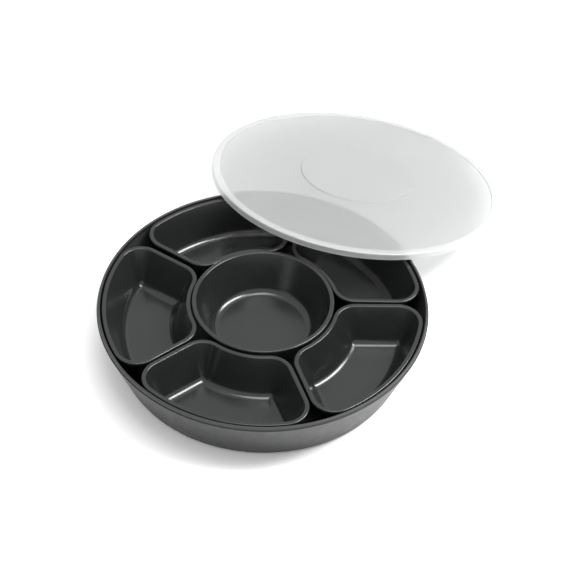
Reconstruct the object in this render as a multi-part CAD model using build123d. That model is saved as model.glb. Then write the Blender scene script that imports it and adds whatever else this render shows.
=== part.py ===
"""Chip and dip server: a round tray, five wedge dishes around a round dip bowl, and a lid.

Millimetres, +Z up. The origin is the centre of the tray's foot, on the surface it stands on.
The lid is taken off and leans on the tray's lip, as it does while the server is in use.
"""

import os
from math import asin, atan2, cos, degrees, hypot, radians, sin, sqrt, tan

from build123d import *

# Tray
TRAY_HEIGHT = 57.0
TRAY_RADIUS = 150.0
SHOULDER_WIDTH = 1.0
LIP_THICKNESS = 2.2
LIP_HEIGHT = 3.3
LIP_ROUNDING = 0.7
WALL_RUN_IN = 19.0
BASE_ROUNDING = 8.0
TRAY_WALL = 2.5
FOOT_WIDTH = 14.0
KICK_UP_DRAFT = 3.0

# Wall and rim shared by the dishes and the bowl
RIM_BAND = 3.7
RIM_FLANGE = 3.0
RIM_ROUNDING = 0.6
FLANGE_ROUNDING = 0.4
WALL = 2.0
WALL_DRAFT = 22.8
FLOOR = 2.0
FLOOR_FILLET = 2.5

# Wedge dishes
DISH_COUNT = 5
DISH_DEPTH = 34.5
DISH_FLOOR_CORNER = 3.3
DISH_DROP = 1.0
FIRST_AZIMUTH = -35.0
DISHES = {
    "dish_front_right": 0.0,
    "dish_front": 0.7,
    "dish_left": 1.4,
    "dish_back_left": 0.5,
    "dish_back_right": -0.7,
}

# Dip bowl
BOWL_RADIUS = 64.3
BOWL_RISE = 2.5

# Lid
LID_THICKNESS = 1.6
LID_SKIRT = 1.3
LID_DEPTH = 6.5
LID_BORDER = 7.0
LID_STEP = 1.0
LID_DOME = 4.0
LID_DISC_RADIUS = 56.5
LID_DISC_STEP = 1.2
LID_ROUNDING = 1.2
LID_AZIMUTH = 64.5
LID_CATCH = 9.8

# Clearances between pieces
DISH_TO_LIP = 1.6
DISH_TO_BOWL = 1.1
DISH_TO_DISH = 3.4
LID_TO_LIP = 1.6
LEAN_GAP = 0.3

# Levels and sizes that follow from the values above
DISH_TOP = TRAY_HEIGHT - DISH_DROP
PLATEAU = DISH_TOP - DISH_DEPTH - FLOOR
BOWL_TOP = DISH_TOP + BOWL_RISE
SHOULDER = TRAY_HEIGHT - LIP_HEIGHT
LIP_RADIUS = TRAY_RADIUS - SHOULDER_WIDTH
LIP_INNER = LIP_RADIUS - LIP_THICKNESS
BASE_RADIUS = TRAY_RADIUS - WALL_RUN_IN
KICK_UP_RADIUS = BASE_RADIUS - FOOT_WIDTH
SLOPE = tan(radians(WALL_DRAFT))
WALL_ACROSS = WALL / cos(radians(WALL_DRAFT))
DISH_OUTER = LIP_INNER - DISH_TO_LIP
DISH_INNER = BOWL_RADIUS + DISH_TO_BOWL
DISH_CORNER = DISH_FLOOR_CORNER + RIM_BAND + SLOPE * DISH_DEPTH
LID_RADIUS = LIP_INNER - LID_TO_LIP
LID_INNER = LID_RADIUS - LID_SKIRT
LID_BORDER_RADIUS = LID_RADIUS - LID_BORDER
LID_PANEL = LID_DEPTH - LID_STEP


def turned(corners):
    """A solid of revolution about Z from its outline: (radius, height, rounding) corners."""
    points = [(r, z) for r, z, _ in corners]
    outline = FilletPolyline(*points, radius=[rounding for _, _, rounding in corners], close=True)
    return revolve(Plane.XZ * make_face(outline), Axis.Z)


def tray():
    """Round tray: sloping wall, stepped lip, and a floor raised inside a flat ring foot."""
    lean = atan2(TRAY_RADIUS - BASE_RADIUS, SHOULDER)
    draft = PLATEAU * tan(radians(KICK_UP_DRAFT))
    kick_in = KICK_UP_RADIUS - TRAY_WALL

    def inner_wall(z):
        return BASE_RADIUS + z * tan(lean) - TRAY_WALL / cos(lean)

    lip_foot = SHOULDER + min(0.0, LIP_INNER - inner_wall(SHOULDER)) / tan(lean)
    return turned([
        (0, PLATEAU - TRAY_WALL, 0),
        (kick_in - draft, PLATEAU - TRAY_WALL, 2.0),
        (kick_in, 0, 1.0),
        (BASE_RADIUS, 0, BASE_ROUNDING),
        (TRAY_RADIUS, SHOULDER, 0.3),
        (LIP_RADIUS, SHOULDER, 0.3),
        (LIP_RADIUS, TRAY_HEIGHT, LIP_ROUNDING),
        (LIP_INNER, TRAY_HEIGHT, LIP_ROUNDING),
        (LIP_INNER, lip_foot, 0),
        (inner_wall(TRAY_WALL), TRAY_WALL, BASE_ROUNDING - TRAY_WALL),
        (KICK_UP_RADIUS, TRAY_WALL, 1.5),
        (KICK_UP_RADIUS - draft, PLATEAU, 2.0),
        (0, PLATEAU, 0),
    ])


def dish_section(inset, height):
    """The wedge outline moved inward by inset, as a flat face at a height. Its centre line is +X."""
    half = radians(180.0 / DISH_COUNT)
    along = Vector(cos(half), sin(half))
    across = Vector(-sin(half), cos(half))
    side = DISH_TO_DISH / 2 + DISH_CORNER
    outer_reach = sqrt((DISH_OUTER - DISH_CORNER) ** 2 - side**2)
    inner_reach = sqrt((DISH_INNER + DISH_CORNER) ** 2 - side**2)
    outer = along * outer_reach - across * side
    inner = along * inner_reach - across * side
    outer_angle = degrees(atan2(outer.Y, outer.X))
    inner_angle = degrees(atan2(inner.Y, inner.X))
    side_angle = degrees(half) + 90
    radius = DISH_CORNER - inset
    to_side = across * radius
    upper = [
        CenterArc(outer, radius, outer_angle, side_angle - outer_angle),
        Line(outer + to_side, inner + to_side),
        CenterArc(inner, radius, side_angle, inner_angle + 180 - side_angle),
    ]
    lower = [mirror(edge, Plane.XZ) for edge in reversed(upper)]
    outer_arc = CenterArc((0, 0), DISH_OUTER - inset, -outer_angle, 2 * outer_angle)
    inner_arc = CenterArc((0, 0), DISH_INNER + inset, -inner_angle, 2 * inner_angle)
    edges = [outer_arc, *upper, inner_arc, *lower]
    return Pos(0, 0, height) * make_face([edge.edge() for edge in edges])


def dish():
    """One wedge dish, with a flat rim band, leaning walls and a flat floor. Its centre line is +X."""
    flange = DISH_TOP - RIM_FLANGE
    bottom_inset = RIM_BAND + SLOPE * (DISH_TOP - PLATEAU) - WALL_ACROSS
    flange_inset = RIM_BAND + SLOPE * RIM_FLANGE - WALL_ACROSS
    floor_inset = RIM_BAND + SLOPE * DISH_DEPTH
    above_inset = RIM_BAND - SLOPE * RIM_FLANGE

    rim = extrude(dish_section(0, flange), RIM_FLANGE)
    rim = fillet(rim.edges().group_by(Axis.Z)[0], FLANGE_ROUNDING)
    rim = fillet(rim.edges().group_by(Axis.Z)[-1], RIM_ROUNDING)
    shell = loft([dish_section(bottom_inset, PLATEAU), dish_section(flange_inset, flange)], ruled=True)
    outer_fillet = min(FLOOR_FILLET, 0.8 * (DISH_CORNER - bottom_inset))
    shell = fillet(shell.edges().group_by(Axis.Z)[0], outer_fillet)
    hollow = loft(
        [dish_section(floor_inset, PLATEAU + FLOOR), dish_section(above_inset, DISH_TOP + RIM_FLANGE)],
        ruled=True,
    )
    hollow = fillet(hollow.edges().group_by(Axis.Z)[0], min(FLOOR_FILLET, 0.8 * DISH_FLOOR_CORNER))
    body = rim + shell - hollow
    band = body.faces().filter_by(GeomType.PLANE).sort_by(Axis.Z)[-1]
    return fillet(band.inner_wires()[0].edges(), RIM_ROUNDING)


def bowl():
    """Round dip bowl with the same rim band, wall and floor as the dishes."""
    mouth = BOWL_RADIUS - RIM_BAND
    flange = BOWL_TOP - RIM_FLANGE
    floor_top = PLATEAU + FLOOR
    return turned([
        (0, PLATEAU, 0),
        (mouth - SLOPE * (BOWL_TOP - PLATEAU) + WALL_ACROSS, PLATEAU, FLOOR_FILLET),
        (mouth - SLOPE * RIM_FLANGE + WALL_ACROSS, flange, 0),
        (BOWL_RADIUS, flange, FLANGE_ROUNDING),
        (BOWL_RADIUS, BOWL_TOP, RIM_ROUNDING),
        (mouth, BOWL_TOP, RIM_ROUNDING),
        (mouth - SLOPE * (BOWL_TOP - floor_top), floor_top, FLOOR_FILLET),
        (0, floor_top, 0),
    ])


def lid():
    """Shallow lid seen with its skirt's lower edge at z = 0: border, domed panel and flat centre disc."""
    step = 0.5 * LID_STEP
    disc = LID_PANEL + LID_DOME + LID_DISC_STEP
    inward = 0.75 * LID_THICKNESS
    return turned([
        (0, disc - LID_THICKNESS, 0),
        (LID_DISC_RADIUS - step - inward, disc - LID_THICKNESS, 0.4),
        (LID_DISC_RADIUS - inward, LID_PANEL + LID_DOME - LID_THICKNESS, 0.4),
        (LID_BORDER_RADIUS - step + inward, LID_PANEL - LID_THICKNESS, 0.4),
        (LID_BORDER_RADIUS + inward, LID_DEPTH - LID_THICKNESS, 0.4),
        (LID_INNER, LID_DEPTH - LID_THICKNESS, 0.4),
        (LID_INNER, 0, 0.3),
        (LID_RADIUS, 0, 0.3),
        (LID_RADIUS, LID_DEPTH, LID_ROUNDING),
        (LID_BORDER_RADIUS, LID_DEPTH, 0.5),
        (LID_BORDER_RADIUS - step, LID_PANEL, 0.5),
        (LID_DISC_RADIUS, LID_PANEL + LID_DOME, 0.5),
        (LID_DISC_RADIUS - step, disc, 0.5),
        (0, disc, 0),
    ])


def lid_rest():
    """Where the lid lies: its underside on the tray's lip, the far side of its skirt on the surface."""
    touch = LID_DISC_RADIUS + LID_CATCH
    rise = (LID_BORDER_RADIUS - touch) / (LID_BORDER_RADIUS - LID_DISC_RADIUS)
    under = LID_PANEL + LID_DOME * rise - LID_THICKNESS
    reach = LID_RADIUS + touch
    tilt = asin((TRAY_HEIGHT + LEAN_GAP) / hypot(reach, under)) - atan2(under, reach)
    out = LIP_RADIUS - LIP_ROUNDING + touch * cos(tilt) - under * sin(tilt)
    azimuth = radians(LID_AZIMUTH)
    downhill = (cos(azimuth) * cos(tilt), sin(azimuth) * cos(tilt), -sin(tilt))
    normal = (cos(azimuth) * sin(tilt), sin(azimuth) * sin(tilt), cos(tilt))
    centre = (out * cos(azimuth), out * sin(azimuth), LID_RADIUS * sin(tilt))
    return Plane(origin=centre, x_dir=downhill, z_dir=normal).location


def pieces():
    """Every piece in its rest place, by node name."""
    wedge = dish()
    made = {"tray": tray(), "dip_bowl": bowl(), "lid": lid_rest() * lid()}
    for place, (name, turn) in enumerate(DISHES.items()):
        azimuth = FIRST_AZIMUTH - place * 360.0 / DISH_COUNT + turn
        made[name] = Rot(0, 0, azimuth) * wedge
    return made


os.makedirs("parts", exist_ok=True)
for node, piece in pieces().items():
    piece.label = node
    export_step(piece, f"parts/{node}.step")
    print(node, round(piece.volume), piece.is_valid)
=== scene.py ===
"""Looks of the chip and dip server: tray, dip bowl, five wedge dishes and frosted lid."""
from math import asin, atan2, ceil, cos, hypot, pi, radians, sin, sqrt, tan

import bmesh
import bpy
from bpy.props import FloatProperty, IntProperty, PointerProperty, StringProperty
from mathutils import Matrix, Vector


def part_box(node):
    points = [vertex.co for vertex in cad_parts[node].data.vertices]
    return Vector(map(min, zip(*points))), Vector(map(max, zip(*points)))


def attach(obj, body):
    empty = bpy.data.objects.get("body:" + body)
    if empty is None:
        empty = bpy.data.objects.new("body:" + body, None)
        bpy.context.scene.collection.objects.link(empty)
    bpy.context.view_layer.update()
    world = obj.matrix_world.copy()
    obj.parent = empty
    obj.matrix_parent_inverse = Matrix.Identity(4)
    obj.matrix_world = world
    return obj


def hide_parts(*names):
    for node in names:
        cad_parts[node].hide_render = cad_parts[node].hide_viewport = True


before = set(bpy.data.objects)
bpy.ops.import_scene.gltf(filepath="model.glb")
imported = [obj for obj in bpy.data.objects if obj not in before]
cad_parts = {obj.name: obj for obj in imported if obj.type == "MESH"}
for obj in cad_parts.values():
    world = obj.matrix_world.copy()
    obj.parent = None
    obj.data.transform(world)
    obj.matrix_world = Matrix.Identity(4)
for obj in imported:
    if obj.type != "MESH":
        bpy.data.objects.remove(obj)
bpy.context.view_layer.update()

bl_info = {
    "name": "Chip and dip server",
    "version": (1, 0, 0),
    "blender": (4, 5, 0),
    "location": "3D View > Sidebar > Server",
    "description": "Builds a lidded tray with five wedge dishes around a dip bowl",
    "category": "Add Mesh",
}

MM = 0.001
DISHES = ("dish_front_right", "dish_front", "dish_left", "dish_back_left", "dish_back_right")
TRAY_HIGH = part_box("tray")[1]
BOWL_LOW, BOWL_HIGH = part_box("dip_bowl")
DISH_LOW, DISH_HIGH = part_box("dish_front")

# Degrees that each loose dish is turned from its even place.
DISH_TURNS = (0.0, 0.7, 1.4, 0.5, -0.7)

# Points along one half of a dish's outline.
OUTER_STEPS, FAR_CORNER_STEPS, SIDE_STEPS, NEAR_CORNER_STEPS, INNER_STEPS = 36, 26, 20, 20, 20

# Profile lines: the widest step of an arc, the least rounding, the point held beside an arc, the
# least distance between two points, and the circle that a turned profile is carried along.
ARC_STEP = radians(15)
LEAST_ROUNDING = 0.02 * MM
HOLD = 0.25 * MM
LEAST_SPACING = 0.01 * MM
GUIDE_RADIUS = 0.1

# Roundings that are the same wherever they occur.
MOULD_EDGE = 0.3 * MM
KICK_ROUNDING = 2.0 * MM
KICK_FOOT_ROUNDING = 1.0 * MM
KICK_INNER_ROUNDING = 1.5 * MM
CUP_BASE_ROUNDING = 2.5 * MM
FLANGE_ROOT = 0.2 * MM
CUP_BASE_FLAT = 2.4 * MM
LEAST_CORNER = 0.4 * MM
LID_STEP_ROUNDING = 0.5 * MM
LID_UNDER_ROUNDING = 0.4 * MM

# Shares of the lid's step and thickness that set how far its inside is drawn in.
STEP_SLOPE = 0.5
STEP_INWARD = 0.75

# Finishes: swing of the colour, limits of the noise that is used, and the lid's clearness in the panel
# and at the border, where a lower clearness is painted light for the border's brighter look.
TINT_SWING = 0.06
NOISE_LOW, NOISE_HIGH = 0.3, 0.7
GLOSSY = {"roughness": 0.2, "spread": 0.03, "grain_mm": 0.8, "grain_depth": 0.002}
SATIN = {"roughness": 0.48, "spread": 0.04, "grain_mm": 0.5, "grain_depth": 0.02}
LID_ROUGHNESS = (0.37, 0.43)
PANEL_CLEAR, BORDER_PAINTED_CLEAR = 0.8, 0.72

# Stage: floor half-width, what the lights face, each softbox's place, width, height and roll, and
# the camera's place and aim from the top of the tray.
FLOOR_HALF = 6
LIGHT_AIM = (0, 0, 0.03)
KEY_SOFTBOX = ((1.08, 0.1, 1.42), 1.1, 0.6, radians(-51))
TOP_SOFTBOX = ((0.1, -0.15, 2.2), 1.0, 0.8, 0.0)
CAMERA_PLACE = Vector((-0.0056, -0.9313, 0.9511))
CAMERA_AIM = Vector((0.0224, 0.0167, 0.0))
CAMERA_ROLL = radians(2.36)
SENSOR_WIDTH = 36


# ---------------------------------------------------------------- sizes and colours

def size(name, description, default, **more):
    """A length property in metres from a default in metres."""
    return FloatProperty(name=name, description=description, default=default, min=0.0,
                         subtype="DISTANCE", unit="LENGTH", precision=4, **more)


def angle(name, description, degrees):
    """An angle property from a default in degrees."""
    return FloatProperty(name=name, description=description, default=radians(degrees),
                         subtype="ANGLE", unit="ROTATION")


def colour(name, description, code):
    """A colour property that holds an sRGB hex code."""
    return StringProperty(name=name, description="sRGB hex of " + description, default=code)


class TraySizes(bpy.types.PropertyGroup):
    height: size("Height", "Foot to the top of the lip", TRAY_HIGH.z)
    radius: size("Radius", "To the outside of the shoulder", 150 * MM)
    shoulder: size("Shoulder width", "Narrow ledge outside the standing lip", 1.0 * MM)
    lip_thickness: size("Lip thickness", "Across the standing lip", 2.2 * MM)
    lip_height: size("Lip height", "Shoulder to the top of the lip", 3.3 * MM)
    lip_rounding: size("Lip rounding", "Radius on the lip's two edges", 0.7 * MM)
    run_in: size("Wall run-in", "How far the wall leans in from shoulder to foot", 19 * MM)
    base_rounding: size("Base rounding", "Radius between wall and foot", 8 * MM)
    wall: size("Wall thickness", "Wall and floor thickness", 2.5 * MM)
    foot_width: size("Foot width", "Wall's foot to the raised floor", 14 * MM)
    kick_draft: angle("Raised floor draft", "Lean of the raised floor's side", 3)


class CupSizes(bpy.types.PropertyGroup):
    band: size("Rim band", "Flat band around each mouth", 3.7 * MM)
    flange: size("Rim flange", "Height of the rim's outer edge", 3.0 * MM)
    rounding: size("Rim rounding", "Radius on the rim's top edges", 1.0 * MM)
    flange_rounding: size("Flange rounding", "Radius under the rim", 0.4 * MM)
    wall: size("Wall thickness", "Thickness of the leaning walls", 2.0 * MM)
    draft: angle("Wall draft", "Lean of the walls from upright", 22.8)
    floor: size("Floor thickness", "Thickness of the floors", 2.0 * MM)
    fillet: size("Floor fillet", "Radius between wall and floor", 8.0 * MM)
    bowl_radius: size("Bowl radius", "Outside of the bowl's rim", 64.3 * MM)
    bowl_gap: size("Bowl gap", "Between the bowl's rim and the dishes", 1.1 * MM)
    lip_gap: size("Lip gap", "Between the dishes and the tray's lip", 1.6 * MM)
    dish_gap: size("Dish gap", "Between two neighbouring dishes", 3.4 * MM)
    floor_corner: size("Floor corner", "Upright corner radius at the floor", 3.3 * MM)
    first: angle("First dish", "Azimuth of the first dish's centre line", -35)


class LidSizes(bpy.types.PropertyGroup):
    thickness: size("Thickness", "Panel thickness", 1.6 * MM)
    skirt: size("Skirt thickness", "Thickness of the skirt", 1.3 * MM)
    depth: size("Depth", "Skirt's edge to the border's top", 6.5 * MM)
    border: size("Border", "Width of the raised border", 7.0 * MM)
    step: size("Step", "Border down to the panel", 1.0 * MM)
    dome: size("Dome", "Rise of the panel towards the middle", 4.0 * MM)
    disc_radius: size("Disc radius", "Radius of the raised middle disc", 56.5 * MM)
    disc_step: size("Disc step", "Panel up to the disc", 1.2 * MM)
    rounding: size("Edge rounding", "Radius on the border's outer edge", 1.2 * MM)
    lip_gap: size("Lip gap", "From the skirt out to the inside of the tray's lip", 1.6 * MM)
    lean_gap: size("Lean gap", "Between the leaning lid and the tray's lip", 0.3 * MM)
    catch: size("Catch", "Where the lip touches, outside the disc's edge", 9.8 * MM)
    azimuth: angle("Lean direction", "Azimuth that the lid slopes down to", 64.5)


class Finishes(bpy.types.PropertyGroup):
    tray_hex: colour("Tray colour", "the tray's plastic", "1a1b1c")
    dish_hex: colour("Dish colour", "the dishes' plastic", "181919")
    lid_hex: colour("Lid colour", "the lid's plastic", "c4c5c5")
    # Painted light: the border's colour is lighter than the panel's, standing in for the brightness its
    # stacked skirt and channel give.
    lid_painted_border_hex: colour("Lid edge colour", "the lid's border", "d0d1d1")
    floor_hex: colour("Floor colour", "the studio floor", "f0f0f0")
    segments: IntProperty(name="Segments", description="Facets around each round piece",
                          default=256, min=32)


class StageSettings(bpy.types.PropertyGroup):
    key_power: FloatProperty(name="Key light", description="Power of the main softbox",
                             default=56.0, unit="POWER")
    top_power: FloatProperty(name="Top light", description="Power of the overhead softbox",
                             default=20.0, unit="POWER")
    sky: FloatProperty(name="Sky", description="Strength of the even studio light",
                       default=1.12)
    lens: FloatProperty(name="Lens", description="Camera focal length in millimetres",
                        default=92.1)


# ---------------------------------------------------------------- colour and nodes

def linear(code):
    """Linear RGBA of an sRGB hex code."""
    parts = [int(code[i:i + 2], 16) / 255 for i in (0, 2, 4)]
    return tuple(c / 12.92 if c <= 0.04045 else ((c + 0.055) / 1.055) ** 2.4
                 for c in parts) + (1.0,)


def add(tree, kind, links=(), **settings):
    """A node of a kind, with its settings and inputs, linked from (input, socket) pairs."""
    node = tree.nodes.new(kind)
    values = settings.pop("values", {})
    for key, value in settings.items():
        setattr(node, key, value)
    for key, value in values.items():
        node.inputs[key].default_value = value
    for key, socket in links:
        tree.links.new(socket, node.inputs[key])
    return node


def material(name):
    """An empty node material and its tree."""
    made = bpy.data.materials.new(name)
    made.use_nodes = True
    made.node_tree.nodes.clear()
    return made, made.node_tree


def moulded_plastic(name, code, roughness, spread, grain_mm, grain_depth):
    """Injection-moulded polypropylene: nearly even colour, with the gloss and grain of its mould."""
    made, tree = material(name)
    place = add(tree, "ShaderNodeTexCoord").outputs["Object"]
    cloud = add(tree, "ShaderNodeTexNoise", [("Vector", place)],
                values={"Scale": 1 / (60 * MM), "Detail": 3.0})
    tint = add(tree, "ShaderNodeMix", [("Factor", cloud.outputs["Fac"])], data_type="RGBA")
    base = linear(code)
    tint.inputs["A"].default_value = tuple(c * (1 - TINT_SWING) for c in base[:3]) + (1.0,)
    tint.inputs["B"].default_value = tuple(c * (1 + TINT_SWING) for c in base[:3]) + (1.0,)
    flow = add(tree, "ShaderNodeTexNoise", [("Vector", place)],
               values={"Scale": 1 / (9 * MM), "Detail": 2.0})
    rough = add(tree, "ShaderNodeMapRange", [("Value", flow.outputs["Fac"])],
                values={"From Min": NOISE_LOW, "From Max": NOISE_HIGH,
                        "To Min": roughness - spread, "To Max": roughness + spread})
    grain = add(tree, "ShaderNodeTexNoise", [("Vector", place)],
                values={"Scale": 1 / (grain_mm * MM), "Detail": 2.0})
    bump = add(tree, "ShaderNodeBump", [("Height", grain.outputs["Fac"])],
               values={"Strength": 0.5, "Distance": grain_depth * MM})
    shader = add(tree, "ShaderNodeBsdfPrincipled",
                 [("Base Color", tint.outputs["Result"]), ("Roughness", rough.outputs["Result"]),
                  ("Normal", bump.outputs["Normal"])],
                 values={"IOR": 1.5})
    add(tree, "ShaderNodeOutputMaterial", [("Surface", shader.outputs["BSDF"])])
    return made


def frosted_plastic(name, code, painted_border_code):
    """Natural polypropylene with a fine matt skin: milky and see-through, with the border painted
    lighter and less clear for the brightness its stacked skirt and channel give.
    """
    made, tree = material(name)
    place = add(tree, "ShaderNodeTexCoord").outputs["Object"]
    cloud = add(tree, "ShaderNodeTexNoise", [("Vector", place)],
                values={"Scale": 1 / (40 * MM), "Detail": 2.0})
    rough = add(tree, "ShaderNodeMapRange", [("Value", cloud.outputs["Fac"])],
                values={"From Min": NOISE_LOW, "From Max": NOISE_HIGH,
                        "To Min": LID_ROUGHNESS[0], "To Max": LID_ROUGHNESS[1]})
    # Border mask: the border's lighter colour and lower clearness are painted light for the brightness
    # of its stacked layers.
    edge = add(tree, "ShaderNodeAttribute", attribute_name="edge")
    tint = add(tree, "ShaderNodeMix", [("Factor", edge.outputs["Fac"])], data_type="RGBA")
    tint.inputs["A"].default_value = linear(code)
    tint.inputs["B"].default_value = linear(painted_border_code)
    clear = add(tree, "ShaderNodeMapRange", [("Value", edge.outputs["Fac"])],
                values={"To Min": PANEL_CLEAR, "To Max": BORDER_PAINTED_CLEAR})
    shader = add(tree, "ShaderNodeBsdfPrincipled",
                 [("Base Color", tint.outputs["Result"]), ("Roughness", rough.outputs["Result"]),
                  ("Transmission Weight", clear.outputs["Result"])], values={"IOR": 1.49})
    add(tree, "ShaderNodeOutputMaterial", [("Surface", shader.outputs["BSDF"])])
    return made


# ---------------------------------------------------------------- outlines and meshes

def rounded(corners):
    """Points along (across, up, rounding) corners, with a close point before and after each arc."""
    ends = [Vector(c[:2]) for c in corners]
    points = [ends[0]]
    for i in range(1, len(corners) - 1):
        here, rounding = ends[i], max(corners[i][2], LEAST_ROUNDING)
        back, ahead = (ends[i - 1] - here).normalized(), (ends[i + 1] - here).normalized()
        turn = pi - back.angle(ahead)
        reach = rounding * tan(turn / 2)
        centre = here + (back + ahead).normalized() * (rounding / cos(turn / 2))
        start = here + back * reach
        steps = max(2, ceil(turn / ARC_STEP))
        side = 1 if back.x * ahead.y - back.y * ahead.x < 0 else -1
        hold = min(HOLD, reach)
        points.append(start + back * hold)
        for k in range(steps + 1):
            spin = Matrix.Rotation(side * turn * k / steps, 2)
            points.append(centre + spin @ (start - centre))
        points.append(here + ahead * (reach + hold))
    points.append(ends[-1])
    kept = [points[0]]
    for point in points[1:]:
        if (point - kept[-1]).length > LEAST_SPACING:
            kept.append(point)
    return kept


def mesh_object(name, vertices, faces):
    """A smooth mesh object with its normals facing out."""
    mesh = bpy.data.meshes.new(name)
    mesh.from_pydata([tuple(v) for v in vertices], [], faces)
    body = bmesh.new()
    body.from_mesh(mesh)
    bmesh.ops.remove_doubles(body, verts=body.verts, dist=0.001 * MM)
    bmesh.ops.recalc_face_normals(body, faces=body.faces)
    body.to_mesh(mesh)
    body.free()
    mesh.shade_smooth()
    made = bpy.data.objects.new(name, mesh)
    bpy.context.scene.collection.objects.link(made)
    return made


def tree_with(name, inputs):
    """A geometry node tree with a geometry in, named inputs and a geometry out."""
    tree = bpy.data.node_groups.new(name, "GeometryNodeTree")
    tree.interface.new_socket("Geometry", in_out="OUTPUT", socket_type="NodeSocketGeometry")
    tree.interface.new_socket("Geometry", in_out="INPUT", socket_type="NodeSocketGeometry")
    for title, kind in inputs:
        tree.interface.new_socket(title, in_out="INPUT", socket_type=kind)
    return tree, tree.nodes.new("NodeGroupInput").outputs


def through_nodes(piece, tree, values):
    """The piece's mesh after a geometry node tree with these input values, as a plain mesh."""
    step = piece.modifiers.new(tree.name, "NODES")
    step.node_group = tree
    for item in tree.interface.items_tree:
        if item.in_out == "INPUT" and item.name in values:
            step[item.identifier] = values[item.name]
    bpy.context.view_layer.update()
    ready = piece.evaluated_get(bpy.context.evaluated_depsgraph_get())
    mesh = bpy.data.meshes.new_from_object(ready)
    piece.modifiers.remove(step)
    piece.data = mesh
    return piece


def lathe_tree():
    """Turns a profile line around Z: its X is the radius less the guide circle's, its Y the height."""
    tree, given = tree_with("Turned on a lathe", [
        ("Segments", "NodeSocketInt"), ("Guide Radius", "NodeSocketFloat"),
        ("Material", "NodeSocketMaterial")])
    circle = add(tree, "GeometryNodeCurvePrimitiveCircle",
                 [("Resolution", given["Segments"]), ("Radius", given["Guide Radius"])])
    upright = add(tree, "GeometryNodeSetCurveNormal", [("Curve", circle.outputs["Curve"])], mode="Z_UP")
    line = add(tree, "GeometryNodeMeshToCurve", [("Mesh", given["Geometry"])])
    swept = add(tree, "GeometryNodeCurveToMesh",
                [("Curve", upright.outputs["Curve"]), ("Profile Curve", line.outputs["Curve"])])
    joined = add(tree, "GeometryNodeMergeByDistance", [("Geometry", swept.outputs["Mesh"])],
                 values={"Distance": 0.002 * MM})
    smooth = add(tree, "GeometryNodeSetShadeSmooth", [("Geometry", joined.outputs["Geometry"])])
    painted = add(tree, "GeometryNodeSetMaterial",
                  [("Geometry", smooth.outputs["Geometry"]), ("Material", given["Material"])])
    add(tree, "NodeGroupOutput", [("Geometry", painted.outputs["Geometry"])])
    return tree


def turned(name, corners, finish, segments):
    """A round piece from its (radius, height, rounding) corners, centred on Z."""
    points = rounded(corners)
    mesh = bpy.data.meshes.new(name)
    mesh.from_pydata([(p.x - GUIDE_RADIUS, -p.y, 0) for p in points],
                     [(i, i + 1) for i in range(len(points) - 1)], [])
    piece = bpy.data.objects.new(name, mesh)
    bpy.context.scene.collection.objects.link(piece)
    through_nodes(piece, lathe_tree(),
                  {"Segments": segments, "Guide Radius": GUIDE_RADIUS, "Material": finish})
    body = bmesh.new()
    body.from_mesh(piece.data)
    bmesh.ops.recalc_face_normals(body, faces=body.faces)
    body.to_mesh(piece.data)
    body.free()
    return piece


def finish_piece(piece, node):
    """Stands the piece in for its CAD node, on that node's body."""
    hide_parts(node)
    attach(piece, node)


# ---------------------------------------------------------------- operators

class SERVER_OT_tray(bpy.types.Operator):
    """Round tray with a stepped lip and a raised floor"""
    bl_idname = "server.tray"
    bl_label = "Tray"

    def execute(self, context):
        s, f = context.scene.server_tray, context.scene.server_finishes
        plateau = DISH_LOW.z
        shoulder = s.height - s.lip_height
        lip = s.radius - s.shoulder
        base = s.radius - s.run_in
        kick = base - s.foot_width
        lean = atan2(s.run_in, shoulder)
        draft = plateau * tan(s.kick_draft)
        lip_inner = lip - s.lip_thickness

        def inner(z):
            return base + z * tan(lean) - s.wall / cos(lean)

        corners = [
            (0, plateau - s.wall, 0),
            (kick - s.wall - draft, plateau - s.wall, KICK_ROUNDING),
            (kick - s.wall, 0, KICK_FOOT_ROUNDING),
            (base, 0, s.base_rounding),
            (s.radius, shoulder, MOULD_EDGE),
            (lip, shoulder, MOULD_EDGE),
            (lip, s.height, s.lip_rounding),
            (lip_inner, s.height, s.lip_rounding),
            (lip_inner, shoulder + min(0.0, lip_inner - inner(shoulder)) / tan(lean), MOULD_EDGE),
            (inner(s.wall), s.wall, s.base_rounding - s.wall),
            (kick, s.wall, KICK_INNER_ROUNDING),
            (kick - draft, plateau, KICK_ROUNDING),
            (0, plateau, 0),
        ]
        # A spark-eroded mould leaves a satin skin: broad soft shading, with no sharp highlight.
        finish = moulded_plastic("Moulded charcoal polypropylene, satin", f.tray_hex, **SATIN)
        piece = turned("tray_shell", corners, finish, f.segments)
        finish_piece(piece, "tray")
        return {"FINISHED"}


class SERVER_OT_bowl(bpy.types.Operator):
    """Round dip bowl in the middle of the tray"""
    bl_idname = "server.bowl"
    bl_label = "Dip bowl"

    def execute(self, context):
        s, f = context.scene.server_cups, context.scene.server_finishes
        top, bottom = BOWL_HIGH.z, BOWL_LOW.z
        slope, across = tan(s.draft), s.wall / cos(s.draft)
        mouth = s.bowl_radius - s.band
        floor = bottom + s.floor
        corners = [
            (0, bottom, 0),
            (mouth - slope * (top - bottom) + across, bottom, CUP_BASE_ROUNDING),
            (mouth - slope * s.flange + across, top - s.flange, FLANGE_ROOT),
            (s.bowl_radius, top - s.flange, s.flange_rounding),
            (s.bowl_radius, top, s.rounding),
            (mouth, top, s.rounding),
            (mouth - slope * (top - floor), floor, s.fillet),
            (0, floor, 0),
        ]
        # A polished mould leaves a gloss: a narrow bright streak round the floor's fillet.
        finish = moulded_plastic("Moulded charcoal polypropylene, bowl", f.dish_hex, **GLOSSY)
        piece = turned("dip_bowl_shell", corners, finish, f.segments)
        finish_piece(piece, "dip_bowl")
        return {"FINISHED"}


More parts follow.
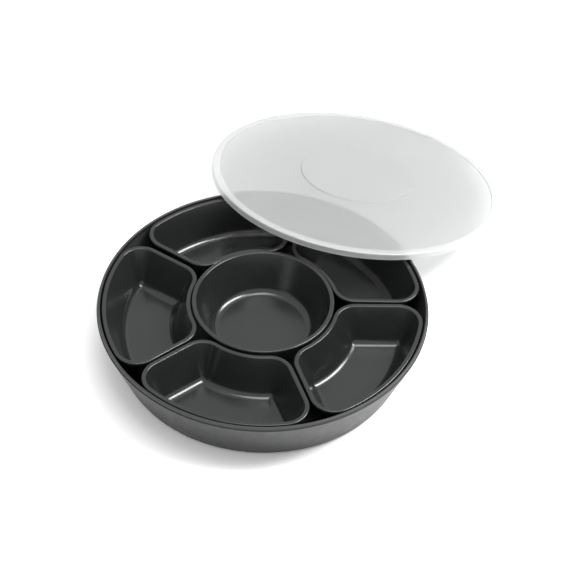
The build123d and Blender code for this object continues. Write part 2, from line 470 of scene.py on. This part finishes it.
def wedge_outline(s, inset, outer, inner, corner, half):
    """The wedge's outline moved in by inset, with the same count of points for any inset."""
    along, across = Vector((cos(half), sin(half))), Vector((-sin(half), cos(half)))
    corner = max(corner, inset + LEAST_CORNER)
    side = s.dish_gap / 2 + corner
    far = along * sqrt((outer - corner) ** 2 - side ** 2) - across * side
    near = along * sqrt((inner + corner) ** 2 - side ** 2) - across * side
    far_angle, near_angle = atan2(far.y, far.x), atan2(near.y, near.x)
    radius, points = corner - inset, []

    def arc(centre, r, start, end, steps):
        for k in range(steps):
            a = start + (end - start) * k / steps
            points.append(centre + Vector((cos(a), sin(a))) * r)

    arc(Vector((0, 0)), outer - inset, 0, far_angle, OUTER_STEPS)
    arc(far, radius, far_angle, half + pi / 2, FAR_CORNER_STEPS)
    start, end = far + across * radius, near + across * radius
    points.extend(start.lerp(end, k / SIDE_STEPS) for k in range(SIDE_STEPS))
    arc(near, radius, half + pi / 2, near_angle + pi, NEAR_CORNER_STEPS)
    arc(Vector((0, 0)), inner + inset, near_angle, 0, INNER_STEPS)
    points.append(Vector((inner + inset, 0)))
    return points + [Vector((p.x, -p.y)) for p in reversed(points[1:-1])]


def dish_tree():
    """Turns one dish to its place among the places around the bowl, and paints it."""
    tree, given = tree_with("Dish round the bowl", [
        ("Places", "NodeSocketInt"), ("Place", "NodeSocketInt"), ("First", "NodeSocketFloat"),
        ("Turn", "NodeSocketFloat"), ("Material", "NodeSocketMaterial")])
    share = add(tree, "ShaderNodeMath", [(0, given["Place"]), (1, given["Places"])], operation="DIVIDE")
    back = add(tree, "ShaderNodeMath", [(0, share.outputs[0])], operation="MULTIPLY")
    back.inputs[1].default_value = -2 * pi
    start = add(tree, "ShaderNodeMath", [(0, back.outputs[0]), (1, given["First"])], operation="ADD")
    angle = add(tree, "ShaderNodeMath", [(0, start.outputs[0]), (1, given["Turn"])], operation="ADD")
    spin = add(tree, "ShaderNodeCombineXYZ", [("Z", angle.outputs[0])])
    moved = add(tree, "GeometryNodeTransform",
                [("Geometry", given["Geometry"]), ("Rotation", spin.outputs[0])])
    painted = add(tree, "GeometryNodeSetMaterial",
                  [("Geometry", moved.outputs["Geometry"]), ("Material", given["Material"])])
    add(tree, "NodeGroupOutput", [("Geometry", painted.outputs["Geometry"])])
    return tree


class SERVER_OT_dishes(bpy.types.Operator):
    """Five wedge dishes around the bowl"""
    bl_idname = "server.dishes"
    bl_label = "Wedge dishes"

    def execute(self, context):
        scene = context.scene
        s, t, f = scene.server_cups, scene.server_tray, scene.server_finishes
        top, bottom = DISH_HIGH.z, DISH_LOW.z
        slope, across = tan(s.draft), s.wall / cos(s.draft)
        floor = bottom + s.floor
        floor_inset = s.band + slope * (top - floor)
        base_inset = s.band + slope * (top - bottom) - across
        corner = s.floor_corner + floor_inset
        outer = t.radius - t.shoulder - t.lip_thickness - s.lip_gap
        inner = s.bowl_radius + s.bowl_gap
        line = rounded([
            (floor_inset + s.fillet, floor, 0),
            (floor_inset, floor, s.fillet),
            (s.band, top, s.rounding),
            (0, top, s.rounding),
            (0, top - s.flange, s.flange_rounding),
            (s.band + slope * s.flange - across, top - s.flange, FLANGE_ROOT),
            (base_inset, bottom, CUP_BASE_ROUNDING),
            (base_inset + CUP_BASE_FLAT, bottom, 0),
        ])
        vertices, faces = [], []
        for point in line:
            ring = wedge_outline(s, point.x, outer, inner, corner, pi / len(DISHES))
            vertices.extend((p.x, p.y, point.y) for p in ring)
        count = len(ring)
        for j in range(len(line) - 1):
            for i in range(count):
                k = (i + 1) % count
                faces.append((j * count + i, j * count + k,
                              (j + 1) * count + k, (j + 1) * count + i))
        faces.append(tuple(range(count)))
        faces.append(tuple((len(line) - 1) * count + i for i in range(count)))
        # The bowl's polished gloss again: bright streaks where the walls meet the floors.
        finish = moulded_plastic("Moulded charcoal polypropylene, dish", f.dish_hex, **GLOSSY)
        tree = dish_tree()
        for place, (node, turn) in enumerate(zip(DISHES, DISH_TURNS)):
            piece = mesh_object(node + "_shell", vertices, faces)
            through_nodes(piece, tree, {"Places": len(DISHES), "Place": place, "First": s.first,
                                        "Turn": radians(turn), "Material": finish})
            finish_piece(piece, node)
        return {"FINISHED"}


class SERVER_OT_lid(bpy.types.Operator):
    """Frosted lid that leans on the tray's lip"""
    bl_idname = "server.lid"
    bl_label = "Lid"

    def execute(self, context):
        scene = context.scene
        s, t, f = scene.server_lid, scene.server_tray, scene.server_finishes
        lip = t.radius - t.shoulder
        radius = lip - t.lip_thickness - s.lip_gap
        inner = radius - s.skirt
        edge = radius - s.border
        panel = s.depth - s.step
        half_step, inward = STEP_SLOPE * s.step, STEP_INWARD * s.thickness
        disc = panel + s.dome + s.disc_step
        under = LID_UNDER_ROUNDING
        corners = [
            (0, disc - s.thickness, 0),
            (s.disc_radius - half_step - inward, disc - s.thickness, under),
            (s.disc_radius - inward, panel + s.dome - s.thickness, under),
            (edge - half_step + inward, panel - s.thickness, under),
            (edge + inward, s.depth - s.thickness, under),
            (inner, s.depth - s.thickness, under),
            (inner, 0, MOULD_EDGE),
            (radius, 0, MOULD_EDGE),
            (radius, s.depth, s.rounding),
            (edge, s.depth, LID_STEP_ROUNDING),
            (edge - half_step, panel, LID_STEP_ROUNDING),
            (s.disc_radius, panel + s.dome, LID_STEP_ROUNDING),
            (s.disc_radius - half_step, disc, LID_STEP_ROUNDING),
            (0, disc, 0),
        ]
        # Light scatters in the panel, so what lies under the lid shows soft and pale.
        finish = frosted_plastic("Moulded natural polypropylene, frosted", f.lid_hex, f.lid_painted_border_hex)
        piece = turned("lid_shell", corners, finish, f.segments)
        # Mark the border, which the finish paints lighter and less clear as painted light for its
        # stacked layers.
        painted_border_mask = piece.data.attributes.new("edge", "FLOAT", "POINT")
        for vertex, value in zip(piece.data.vertices, painted_border_mask.data):
            value.value = float(hypot(vertex.co.x, vertex.co.y) > edge - half_step)
        touch = s.disc_radius + s.catch
        below = panel + s.dome * (edge - touch) / (edge - s.disc_radius) - s.thickness
        reach = radius + touch
        tilt = asin((t.height + s.lean_gap) / hypot(reach, below)) - atan2(below, reach)
        out = lip - t.lip_rounding + touch * cos(tilt) - below * sin(tilt)
        place = (Matrix.Rotation(s.azimuth, 4, "Z")
                 @ Matrix.Translation((out, 0, radius * sin(tilt)))
                 @ Matrix.Rotation(tilt, 4, "Y"))
        piece.data.transform(place)
        finish_piece(piece, "lid")
        return {"FINISHED"}


class SERVER_OT_stage(bpy.types.Operator):
    """Pale floor, soft studio light and the camera"""
    bl_idname = "server.stage"
    bl_label = "Studio"

    def execute(self, context):
        s, f = context.scene.server_stage, context.scene.server_finishes
        scene = context.scene
        scene.view_settings.view_transform = "Standard"

        # Matt coated paper: no gloss at all, only soft shadows.
        ground, tree = material("Matt white studio paper")
        shader = add(tree, "ShaderNodeBsdfPrincipled",
                     values={"Base Color": linear(f.floor_hex), "Roughness": 0.9,
                             "Specular IOR Level": 0.2})
        add(tree, "ShaderNodeOutputMaterial", [("Surface", shader.outputs["BSDF"])])
        mesh = bpy.data.meshes.new("studio_floor")
        h = FLOOR_HALF
        mesh.from_pydata([(-h, -h, 0), (h, -h, 0), (h, h, 0), (-h, h, 0)], [], [(0, 1, 2, 3)])
        mesh.materials.append(ground)
        floor = bpy.data.objects.new("studio_floor", mesh)
        scene.collection.objects.link(floor)

        world = bpy.data.worlds.new("Studio")
        world.use_nodes = True
        sky = world.node_tree.nodes["Background"].inputs
        sky["Color"].default_value = (1, 1, 1, 1)
        sky["Strength"].default_value = s.sky
        scene.world = world

        def softbox(name, box, power):
            place, width, height, roll = box
            light = bpy.data.lights.new(name, "AREA")
            light.shape, light.size, light.size_y = "RECTANGLE", width, height
            light.energy = power
            holder = bpy.data.objects.new(name, light)
            holder.location = place
            aim = (Vector(LIGHT_AIM) - Vector(place)).to_track_quat("-Z", "Y")
            holder.rotation_euler = (aim @ Matrix.Rotation(roll, 3, "Z").to_quaternion()).to_euler()
            scene.collection.objects.link(holder)

        softbox("key_softbox", KEY_SOFTBOX, s.key_power)
        softbox("top_softbox", TOP_SOFTBOX, s.top_power)

        lens = bpy.data.cameras.new("camera")
        lens.lens, lens.sensor_width = s.lens, SENSOR_WIDTH
        camera = bpy.data.objects.new("camera", lens)
        top = Vector((0, 0, TRAY_HIGH.z))
        camera.location = top + CAMERA_PLACE
        aim = (top + CAMERA_AIM - camera.location).to_track_quat("-Z", "Y")
        turn = aim @ Matrix.Rotation(CAMERA_ROLL, 3, "Z").to_quaternion()
        camera.rotation_euler = turn.to_euler()
        scene.collection.objects.link(camera)
        scene.camera = camera
        return {"FINISHED"}


class SERVER_PT_panel(bpy.types.Panel):
    """Sizes, finishes and the pieces of the server"""
    bl_label = "Chip and dip server"
    bl_idname = "SERVER_PT_panel"
    bl_space_type = "VIEW_3D"
    bl_region_type = "UI"
    bl_category = "Server"

    def draw(self, context):
        scene = context.scene
        for group in GROUPS:
            owner = getattr(scene, group)
            box = self.layout.box()
            for name in owner.__annotations__:
                box.prop(owner, name)
        for operator in OPERATORS:
            self.layout.operator(operator.bl_idname)


OPERATORS = (SERVER_OT_tray, SERVER_OT_bowl, SERVER_OT_dishes, SERVER_OT_lid, SERVER_OT_stage)
GROUPS = {"server_tray": TraySizes, "server_cups": CupSizes, "server_lid": LidSizes,
          "server_finishes": Finishes, "server_stage": StageSettings}


def register():
    for made in (*GROUPS.values(), *OPERATORS, SERVER_PT_panel):
        bpy.utils.register_class(made)
    for name, group in GROUPS.items():
        setattr(bpy.types.Scene, name, PointerProperty(type=group))


def unregister():
    for name in GROUPS:
        delattr(bpy.types.Scene, name)
    for made in reversed((*GROUPS.values(), *OPERATORS, SERVER_PT_panel)):
        bpy.utils.unregister_class(made)


def main():
    register()
    for operator in OPERATORS:
        group, name = operator.bl_idname.split(".")
        getattr(getattr(bpy.ops, group), name)()


if __name__ == "__main__":
    main()
